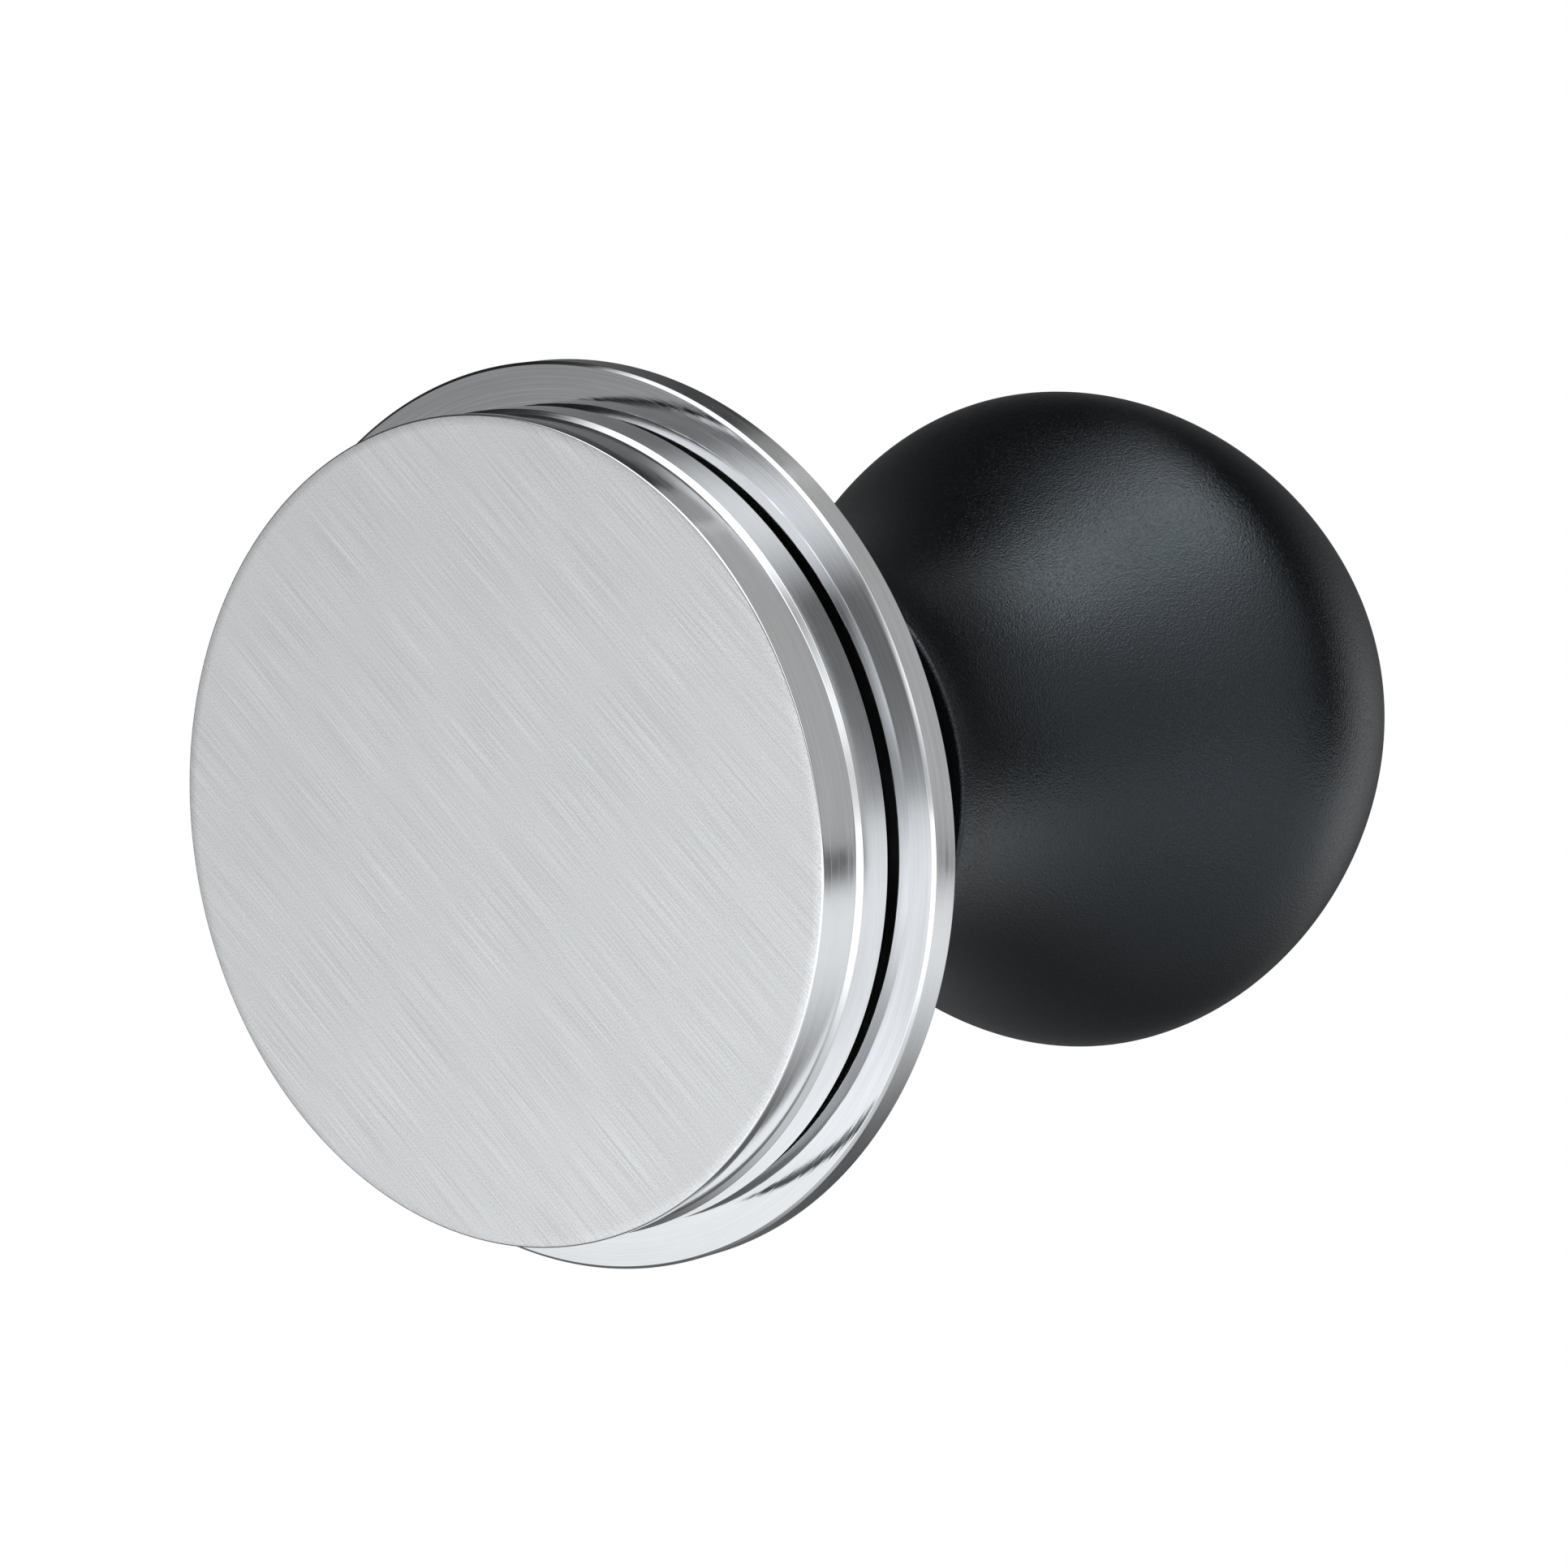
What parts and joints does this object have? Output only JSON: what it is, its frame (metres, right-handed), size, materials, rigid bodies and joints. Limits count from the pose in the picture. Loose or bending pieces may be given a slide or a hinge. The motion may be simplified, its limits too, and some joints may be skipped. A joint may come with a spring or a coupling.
{
  "type": "espresso tamper",
  "caption": "Hand tamper for ground coffee: flat round steel base, wider sprung levelling collar, and a pear-shaped grip that gives against a spring.",
  "frame": {"origin": "centre of the flat tamping face, the lowest point of the tool", "axes": "+Z along the tool's axis from the tamping face to the top of the handle; +X through the first collar screw"},
  "size_m": [0.064, 0.064, 0.0944],
  "materials": {
    "base_steel": "brushed face, finely turned and polished rim",
    "collar_steel": "mirror-polished front, finely turned rim and back",
    "shaft_steel": "ground",
    "spring_steel": "drawn spring wire",
    "fastener_steel": "plain machined",
    "sleeve_black": "black anodised, satin",
    "handle_black": "matte black anodised over a fine blasted grain",
    "ferrule_black": "black anodised, satin",
    "bush_black": "moulded bearing polymer",
    "guide_polymer": "natural bearing polymer",
    "bronze": "sintered bronze",
    "rubber": "matte"
  },
  "bodies": {
    "base": {"tamping_base": "base_steel", "base_o_ring": "rubber", "bumper_washer": "rubber", "guide_shaft": "shaft_steel", "shaft_piston": "shaft_steel", "piston_ring": "guide_polymer", "piston_washer": "fastener_steel", "piston_screw": "fastener_steel"},
    "collar": {"levelling_collar": "collar_steel", "collar_sleeve": "sleeve_black", "sleeve_bush": "bronze", "collar_screw_1": "fastener_steel", "collar_screw_2": "fastener_steel", "collar_screw_3": "fastener_steel", "collar_spring": "spring_steel"},
    "handle": {"handle_body": "handle_black", "handle_ferrule": "ferrule_black", "ferrule_gasket": "rubber", "ferrule_bush": "bush_black", "spring_seat": "fastener_steel", "main_spring": "spring_steel"}
  },
  "joints": [
    {"name": "collar_slide", "type": "slide", "parent": "base", "child": "collar", "axis": [0, 0, 1], "range_m": [0, 0.008], "stiffness_N_per_m": 500, "springref_m": -0.0115, "deforming": ["collar_spring"]},
    {"name": "handle_press", "type": "slide", "parent": "base", "child": "handle", "axis": [0, 0, -1], "range_m": [0, 0.004], "stiffness_N_per_m": 13800, "springref_m": -0.0056, "deforming": ["main_spring"]}
  ]
}
